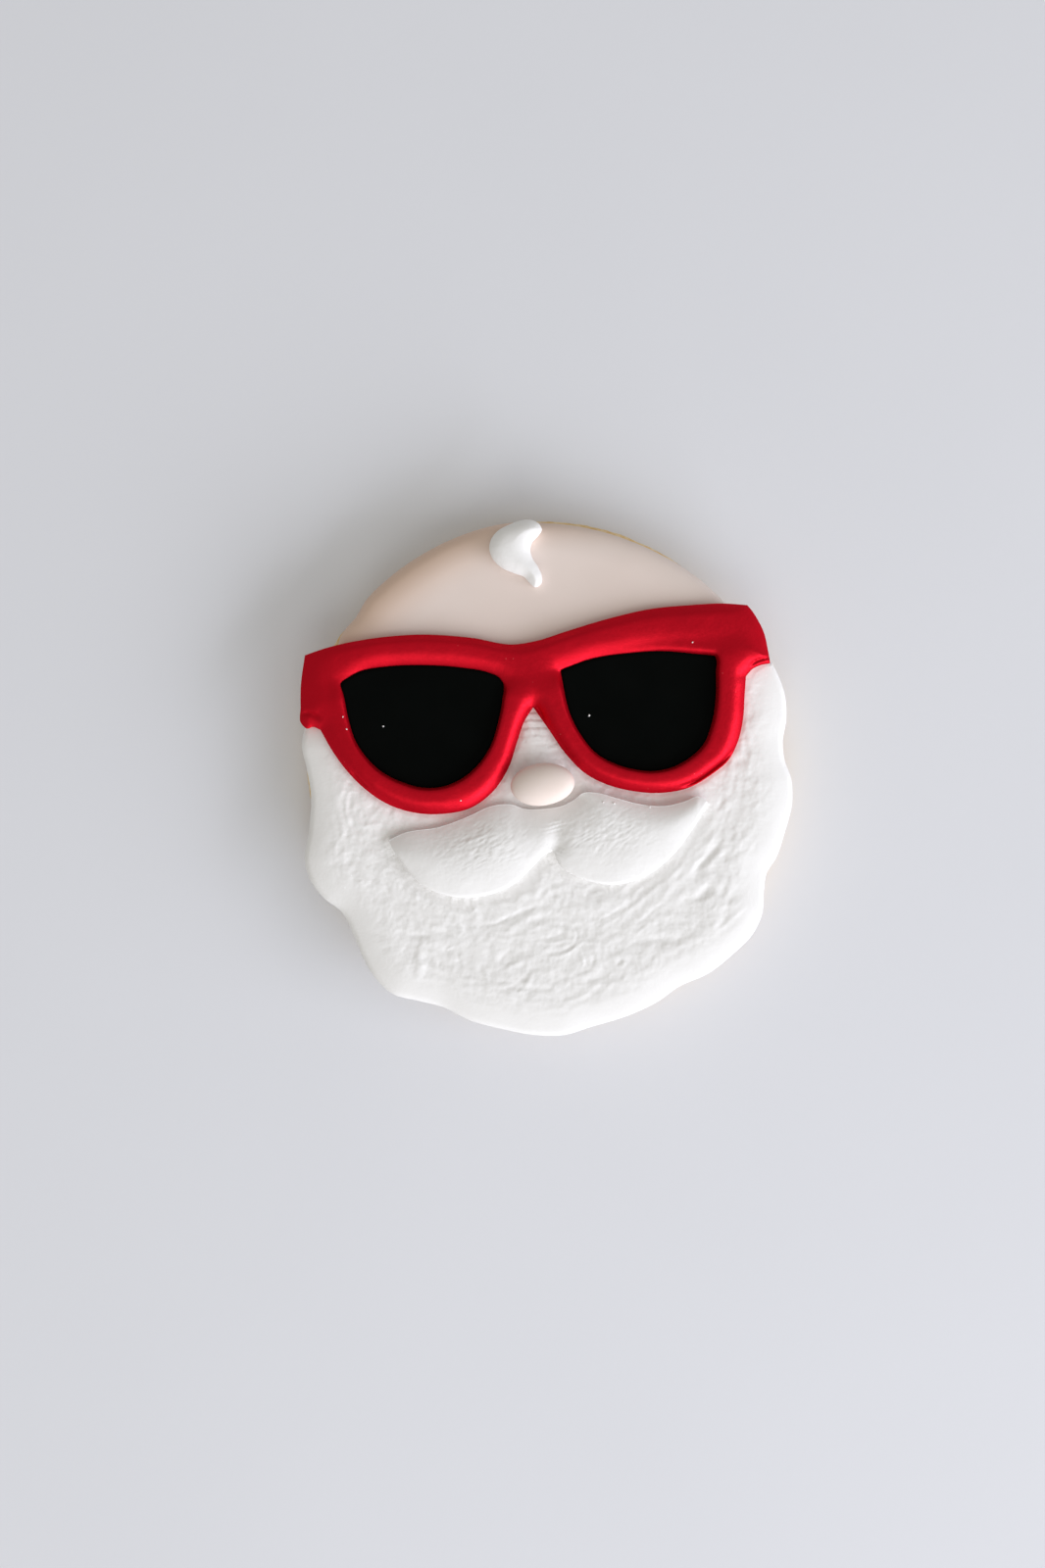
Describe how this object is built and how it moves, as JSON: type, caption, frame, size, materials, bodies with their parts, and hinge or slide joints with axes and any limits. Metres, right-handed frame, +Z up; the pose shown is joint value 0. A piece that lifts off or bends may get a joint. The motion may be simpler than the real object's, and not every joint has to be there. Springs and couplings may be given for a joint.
{
  "type": "christmas cookie",
  "caption": "Round iced Christmas biscuit with a bearded face, moustache and red-framed sunglasses, lying flat face up.",
  "frame": {"origin": "centre of the biscuit's flat underside", "axes": "+X to the face's right-hand side as seen from above, +Y to the top of the face, +Z up out of the iced side"},
  "size_m": [0.0809, 0.0851, 0.0141],
  "materials": {
    "baked_dough": "baked, dry and fine-grained",
    "pink_icing": "smooth satin sugar paste",
    "white_icing": "dry satin sugar paste",
    "nose_icing": "smooth satin sugar paste",
    "red_icing": "satin sugar paste with a fine sugar grain",
    "black_icing": "flat dull black sugar paste"
  },
  "bodies": {
    "root": {"biscuit": "baked_dough", "face_icing": "pink_icing", "beard": "white_icing", "moustache": "white_icing", "hair_curl": "white_icing", "nose": "nose_icing", "glasses_frame": "red_icing", "lens_left": "black_icing", "lens_right": "black_icing"}
  },
  "joints": []
}
